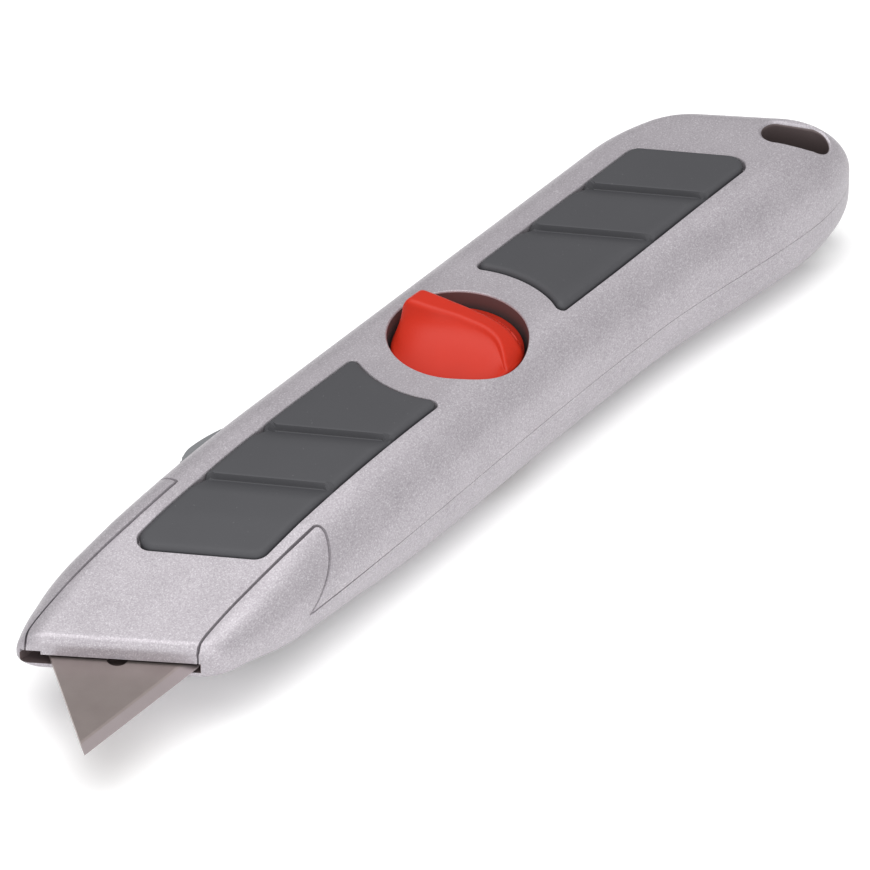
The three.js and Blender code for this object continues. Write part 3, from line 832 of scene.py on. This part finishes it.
def grip_top(which, x, y):
    """Height of a grip's upper surface, with its saw-tooth steps."""
    along = x + GRIP_SLANT * y
    height = skin_height(x, y) + GRIP_PROUD
    for step in GRIP_STEPS[which]:
        past = step - along
        face = np.clip((past + 0.1) / 0.4, 0, 1)
        ramp = np.clip(1 - (past - 0.4) / STEP_RUN, 0, 1)
        height = height - STEP_DEPTH * face * (3 - 2 * face) * face * ramp ** 1.3
    return height


def grip(which):
    outline = grip_outline(which)
    edge = 0.75
    points, loops = [], []
    for inset in (0.0, 0.06, 0.16, 0.3, 0.5, 0.75):
        ring = grown(outline, -inset)
        drop = edge - math.sqrt(edge ** 2 - (edge - inset) ** 2)
        loops.append(range(len(points), len(points) + len(ring)))
        points += [(x, y, h - drop) for x, y, h in np.column_stack([ring, grip_top(which, *ring.T)])]
    inner = grown(outline, -1.1)
    span = (GRIP_ENDS[which], -13) if which == "front" else (13, GRIP_ENDS[which])
    lines = set(np.arange(*span, 0.8).round(3))
    for step in GRIP_STEPS[which]:
        lines = {line for line in lines if not -4.2 < line - step < 0.6}
        lines |= {step - past for past in (-0.4, -0.15, -0.05, 0.05, 0.15, 0.25, 0.4, 0.7, 1.1, 1.6, 2.2,
                                           2.9, 3.6)}
    edges = [(loop[i], loop[(i + 1) % len(loop)]) for loop in loops for i in range(len(loop))]
    for line in sorted(lines):
        last = None
        for y in np.arange(-8, 8.01, 0.4):
            x = line - GRIP_SLANT * y
            if not inside_polygon(x, y, inner):
                continue
            if last == len(points) - 1:
                edges.append((last, len(points)))
            last = len(points)
            points.append((x, y, float(grip_top(which, np.array(x), np.array(y)))))
    flat = geometry.delaunay_2d_cdt([Vector(p[:2]) for p in points], edges, [], 1, 1e-6)
    heights = [points[origin[0]][2] for origin in flat[3]]
    top = [(v.x, v.y, h) for v, h in zip(flat[0], heights)]
    faces = [tuple(face) for face in flat[2]]
    made = new_object("grip", top, faces)
    work = bmesh.new()
    work.from_mesh(made.data)
    close_below(work, made, lambda x, y: float(skin_height(x, y)) - GRIP_DEPTH)
    return made


def inside_polygon(x, y, outline):
    ahead = np.roll(outline, -1, axis=0)
    crosses = (outline[:, 1] > y) != (ahead[:, 1] > y)
    with np.errstate(divide="ignore", invalid="ignore"):
        run = (ahead[:, 0] - outline[:, 0]) * (y - outline[:, 1]) / (ahead[:, 1] - outline[:, 1])
    return bool((crosses & (x < run + outline[:, 0])).sum() % 2)


# ---------------------------------------------------------------- knob


def smoothed(at, marks, values):
    """Values read between marks, averaged over a short run so that no corner shows."""
    return sum(np.interp(at + shift, marks, values) for shift in np.linspace(-1, 1, 9)) / 9


def knob_height(x, y):
    """Height of the knob's upper surface: a thumb fin that is narrow and high at the spine, then
    swings to the rear, widens and sinks into the rim, with a hollow flank on the nose side."""
    marks = [-9.5, -7.5, -5.5, -3, 1, 4, 8]
    near = smoothed(y, marks, [-1.0, 0.6, 1.9, 1.8, 0.5, -0.9, -2.1])
    far = smoothed(y, marks, [4.6, 5.0, 5.3, 5.1, 4.0, 2.9, 2.0])
    ridge = smoothed(y, [-9.5, -8.6, -7, -5, -3, 1, 4, 7, 9.5],
                     [-0.3, 0.7, 2.1, 3.1, 3.75, 4.5, 5.0, 5.4, 5.4])
    steep = np.clip((y + 3) / 7, 0, 1)
    ridge = ridge - (0.03 + 0.16 * (1 - steep)) * np.clip(x - near, 0, 5)
    past = np.maximum(near - x, x - far)
    blunt = 1 - np.sqrt(1 - np.clip(past + 0.95, 0, 0.97) ** 2)
    blunt = np.where(x > far, blunt * (0.3 + 0.7 * steep), blunt)
    blunt = blunt + 1 - np.sqrt(1 - np.clip(y - 7.3, 0, 0.97) ** 2)
    reach = np.sqrt(np.maximum(KNOB_RADIUS ** 2 - y * y, 0))
    room = np.maximum(np.where(x < near, reach + near, reach - far), 0.5)
    out = np.clip(past / room, 0, 1)
    hollow = (0.72 * (1 - out) ** 1.3 + 0.28 * np.exp(-9 * out)) * (1 - out ** 6)
    share = np.where(x > far, steep * hollow + (1 - steep) * (1 - out) ** 1.1, hollow)
    cliff = np.clip((8.62 - y) / 0.35, 0, 1)
    disc = KNOB_FACE - 0.45 * np.clip(np.abs(x) / 9, 0, 1)
    rise = np.maximum(KNOB_FACE + ridge - blunt - disc, 0)
    return disc + rise * share * cliff * cliff * (3 - 2 * cliff)


def lock_knob():
    rows = np.concatenate([[-9.449], -9.4 + np.linspace(0, 1.4, 16), np.linspace(-7.8, 7.2, 76),
                           np.linspace(7.3, 8.2, 14), np.linspace(8.25, 8.65, 14),
                           np.linspace(8.75, 9.449, 8)])
    sweep = np.sin(np.linspace(-np.pi / 2, np.pi / 2, 161))
    points, faces = [], []
    for y in rows:
        columns = sweep * math.sqrt(KNOB_RADIUS ** 2 - y * y)
        edge = KNOB_RADIUS - np.hypot(columns, y)
        soft = 0.5
        drop = soft - np.sqrt(soft ** 2 - np.clip(soft - edge, 0, soft) ** 2)
        points += list(zip(columns, np.full_like(columns, y), knob_height(columns, y) - drop))
    width = len(columns)
    for r in range(len(rows) - 1):
        for c in range(width - 1):
            a = r * width + c
            faces.append((a, a + 1, a + width + 1, a + width))
    made = new_object("knob", points, faces)
    low = local_box("lock_knob")[0][2]
    work = bmesh.new()
    work.from_mesh(made.data)
    bmesh.ops.remove_doubles(work, verts=work.verts, dist=1e-4)
    close_below(work, made, lambda x, y: low)
    top = local_box("knob_screw")[1][2] + 0.25
    return minus(made, turned([(SCREW_HEAD_ROOM, low - 1), (SCREW_HEAD_ROOM, top)], steps=48))


# ---------------------------------------------------------------- thumb button


def rib_tree():
    """Geometry nodes: ribs at even spacing along x, over a hump that falls from its crest at x = 0."""
    tree = bpy.data.node_groups.new("button_ribs", "GeometryNodeTree")
    tree.interface.new_socket("Geometry", in_out="OUTPUT", socket_type="NodeSocketGeometry")
    for name, kind in (("Count", "NodeSocketInt"), ("Front", "NodeSocketFloat"), ("Rear", "NodeSocketFloat"),
                       ("Rise", "NodeSocketFloat"), ("Width", "NodeSocketFloat"),
                       ("Radius", "NodeSocketFloat"), ("Material", "NodeSocketMaterial")):
        tree.interface.new_socket(name, in_out="INPUT", socket_type=kind)
    nodes, links = tree.nodes, tree.links
    given = nodes.new("NodeGroupInput")
    out = nodes.new("NodeGroupOutput")

    def calc(operation, first, second):
        made = nodes.new("ShaderNodeMath")
        made.operation = operation
        for socket, value in zip(made.inputs, (first, second)):
            if isinstance(value, (int, float)):
                socket.default_value = value
            else:
                links.new(value, socket)
        return made.outputs[0]

    line = nodes.new("GeometryNodeMeshLine")
    links.new(given.outputs["Count"], line.inputs["Count"])
    index = nodes.new("GeometryNodeInputIndex").outputs[0]
    share = calc("DIVIDE", calc("ADD", index, 0.7), calc("ADD", given.outputs["Count"], 0.4))
    length = calc("ADD", given.outputs["Front"], given.outputs["Rear"])
    x = calc("SUBTRACT", calc("MULTIPLY", share, length), given.outputs["Front"])
    before = calc("LESS_THAN", x, 0.0)
    shorter = calc("SUBTRACT", given.outputs["Front"], given.outputs["Rear"])
    side = calc("ADD", given.outputs["Rear"], calc("MULTIPLY", before, shorter))
    away = calc("DIVIDE", x, side)
    y = calc("MULTIPLY", calc("SUBTRACT", 1.0, calc("MULTIPLY", away, away)), given.outputs["Rise"])
    spot = nodes.new("ShaderNodeCombineXYZ")
    links.new(x, spot.inputs[0])
    links.new(y, spot.inputs[1])
    moved = nodes.new("GeometryNodeSetPosition")
    links.new(line.outputs[0], moved.inputs["Geometry"])
    links.new(spot.outputs[0], moved.inputs["Position"])
    rod = nodes.new("GeometryNodeMeshCylinder")
    rod.inputs["Vertices"].default_value = 20
    links.new(given.outputs["Radius"], rod.inputs["Radius"])
    links.new(given.outputs["Width"], rod.inputs["Depth"])
    scatter = nodes.new("GeometryNodeInstanceOnPoints")
    links.new(moved.outputs[0], scatter.inputs["Points"])
    links.new(rod.outputs["Mesh"], scatter.inputs["Instance"])
    real = nodes.new("GeometryNodeRealizeInstances")
    links.new(scatter.outputs[0], real.inputs[0])
    paint = nodes.new("GeometryNodeSetMaterial")
    links.new(real.outputs[0], paint.inputs["Geometry"])
    links.new(given.outputs["Material"], paint.inputs["Material"])
    links.new(paint.outputs[0], out.inputs[0])
    return tree


def grown_from(tree, name, **values):
    """A mesh object made by a geometry nodes tree with these inputs."""
    made = new_object(name, [], [])
    modifier = made.modifiers.new("nodes", "NODES")
    modifier.node_group = tree
    sockets = {item.name: item.identifier for item in tree.interface.items_tree if item.in_out == "INPUT"}
    for key, value in values.items():
        modifier[sockets[key]] = value
    return settle(made)


def thumb_button():
    low, high = local_box("thumb_button")
    centre = (low[0] + high[0]) / 2
    front, rear = BUTTON_CREST - 0.12, high[0] - low[0] - BUTTON_CREST - 0.12
    crest, base = low[0] + BUTTON_CREST, SPINE + 0.3
    rise = high[1] - 0.3 - base
    away = np.concatenate([np.linspace(-1, 0, 20), np.linspace(0, 1, 28)[1:]])
    outline = [(crest + a * (front if a < 0 else rear), base + rise * (1 - a * a)) for a in away]
    outline += [(crest + rear, SPINE - 0.1), (crest - front, SPINE - 0.1)]
    hump = prism(outline[::-1], -5.3, 5.3)
    bevel = hump.modifiers.new("bevel", "BEVEL")
    bevel.width, bevel.segments, bevel.limit_method = 0.5, 3, "ANGLE"
    bevel.angle_limit = math.radians(50)
    settle(hump)
    stem = block((centre - 3.5, centre + 3.5), (low[1], SPINE + 1), (-1.8, 1.8))
    foot = block((centre - 3.5, centre + 3.5), (low[1], low[1] + 0.6), (low[2], 1.8))
    ribs = grown_from(rib_tree(), "ribs", Count=14, Front=front, Rear=rear, Rise=rise, Width=9.2,
                      Radius=0.28, Material=GREY)
    ribs.data.transform(Matrix.Translation(Vector((crest, base, 0))))
    face_outwards(ribs)
    return plus(hump, stem, foot, ribs)


def spring_tree():
    """Geometry nodes: a coil spring along z."""
    tree = bpy.data.node_groups.new("coil_spring", "GeometryNodeTree")
    tree.interface.new_socket("Geometry", in_out="OUTPUT", socket_type="NodeSocketGeometry")
    for name in ("Turns", "Radius", "Height", "Wire"):
        tree.interface.new_socket(name, in_out="INPUT", socket_type="NodeSocketFloat")
    tree.interface.new_socket("Material", in_out="INPUT", socket_type="NodeSocketMaterial")
    nodes, links = tree.nodes, tree.links
    given, out = nodes.new("NodeGroupInput"), nodes.new("NodeGroupOutput")
    spiral = nodes.new("GeometryNodeCurveSpiral")
    spiral.inputs["Resolution"].default_value = 24
    links.new(given.outputs["Turns"], spiral.inputs["Rotations"])
    for socket in ("Start Radius", "End Radius"):
        links.new(given.outputs["Radius"], spiral.inputs[socket])
    links.new(given.outputs["Height"], spiral.inputs["Height"])
    section = nodes.new("GeometryNodeCurvePrimitiveCircle")
    section.inputs["Resolution"].default_value = 10
    links.new(given.outputs["Wire"], section.inputs["Radius"])
    swept = nodes.new("GeometryNodeCurveToMesh")
    swept.inputs["Fill Caps"].default_value = True
    links.new(spiral.outputs[0], swept.inputs["Curve"])
    links.new(section.outputs[0], swept.inputs["Profile Curve"])
    real = nodes.new("GeometryNodeRealizeInstances")
    links.new(swept.outputs[0], real.inputs[0])
    paint = nodes.new("GeometryNodeSetMaterial")
    links.new(real.outputs[0], paint.inputs["Geometry"])
    links.new(given.outputs["Material"], paint.inputs["Material"])
    links.new(paint.outputs[0], out.inputs[0])
    return tree


def button_spring():
    low, high = local_box("button_spring")
    wire = 0.2
    radius = (high[0] - low[0]) / 2 - wire
    height = high[1] - low[1] - 2 * wire
    coil = grown_from(spring_tree(), "coil", Turns=5.0, Radius=radius, Height=height, Wire=wire,
                      Material=SPRING_STEEL)
    coil.data.transform(Matrix.Rotation(math.radians(-90), 4, "X"))
    centre = (low + high) / 2
    coil.data.transform(Matrix.Translation(Vector((centre[0], low[1] + wire, centre[2]))))
    face_outwards(coil)
    return coil


# ---------------------------------------------------------------- pieces


place(face_casing(), "face_casing_shell", "face_half", "silver_paint", SILVER, "face_casing")
place(back_casing(), "back_casing_shell", "root", "silver_paint", SILVER, "back_casing")
for which in GRIP_ENDS:
    place(grip(which), f"face_{which}_inlay", "face_half", "grip_rubber", RUBBER, f"face_{which}_grip")
    place(flip(grip(which)), f"back_{which}_inlay", "root", "grip_rubber", RUBBER, f"back_{which}_grip")
place(lock_knob(), "turn_knob", "knob", "red_plastic", RED, "lock_knob", smooth_below=60)
place(thumb_button(), "ribbed_button", "button", "grey_plastic", GREY, "thumb_button", smooth_below=40)
coil = place(button_spring(), "button_coil", "carriage", "spring_steel", SPRING_STEEL, "button_spring",
             smooth_below=60)
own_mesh(coil)

BLADE_STEEL = ground_steel("blade_steel", "blade")
SPARE_STEEL = ground_steel("spare_blade_steel", "spare_blade_1")
CAD_FINISHES = {
    "blade": BLADE_STEEL, "blade_carriage": BLACK, "spare_blade_tray": BLACK, "threaded_insert": BRASS,
    **{f"spare_blade_{number}": SPARE_STEEL for number in range(1, 5)},
}
for name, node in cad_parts.items():
    node.data.materials.clear()
    node.data.materials.append(CAD_FINISHES.get(name, SPRING_STEEL))


# ---------------------------------------------------------------- stage, light and camera


def add_floor():
    floor = new_object("floor", [(-3, -3, -0.0006), (3, -3, -0.0006), (3, 3, -0.0006), (-3, 3, -0.0006)],
                       [(0, 1, 2, 3)])
    finish = Finish("floor_paint", roughness=0.9, base_color=(0.93, 0.93, 0.93),
                    emission_color=(1.0, 1.0, 1.0), emission_strength=0.14)
    floor.data.materials.append(finish.material)


def add_light(name, energy, size, location, target=(0, 0, 0)):
    light = bpy.data.lights.new(name, "AREA")
    light.energy, light.size = energy, size
    made = bpy.data.objects.new(name, light)
    bpy.context.scene.collection.objects.link(made)
    made.location = location
    made.rotation_euler = (Vector(target) - Vector(location)).to_track_quat("-Z", "Y").to_euler()


def add_camera():
    """Looks along azimuth -51 degrees, 38.5 degrees down, with the knob set off the middle."""
    azimuth, elevation = math.radians(-51), math.radians(38.5)
    level = Vector((-math.sin(azimuth), math.cos(azimuth), 0))
    forward = level * math.cos(elevation) - Vector((0, 0, math.sin(elevation)))
    right = forward.cross(Vector((0, 0, 1))).normalized()
    up = right.cross(forward)
    distance, lens, sensor = 1.283, 376.9, 36.0
    width = sensor / lens  # what the lens sees across, at unit distance
    aim = Vector(ORIGIN * MM) + Vector((0, 0, HALF * MM))
    off_right, off_up = 0.0259 * width, 0.1164 * width
    place_at = aim - (forward + right * off_right + up * off_up) * distance
    camera = bpy.data.cameras.new("camera")
    camera.lens, camera.sensor_width = lens, sensor
    camera.clip_start, camera.clip_end = 0.1, 20
    made = bpy.data.objects.new("camera", camera)
    bpy.context.scene.collection.objects.link(made)
    turn = Matrix((right, up, -forward)).transposed().to_4x4()
    made.matrix_world = Matrix.Translation(place_at) @ turn
    bpy.context.scene.camera = made


def add_sky():
    world = bpy.data.worlds.new("studio")
    world.use_nodes = True
    background = world.node_tree.nodes["Background"].inputs
    background["Color"].default_value = (1, 1, 1, 1)
    background["Strength"].default_value = 0.42
    bpy.context.scene.world = world


add_floor()
add_sky()
add_light("key", 12.8, 1.1, (-0.12, -0.08, 1.1))
add_light("fill", 0.85, 0.35, (-0.32, -0.28, 0.16))
add_camera()
bpy.context.scene.view_settings.view_transform = "Standard"
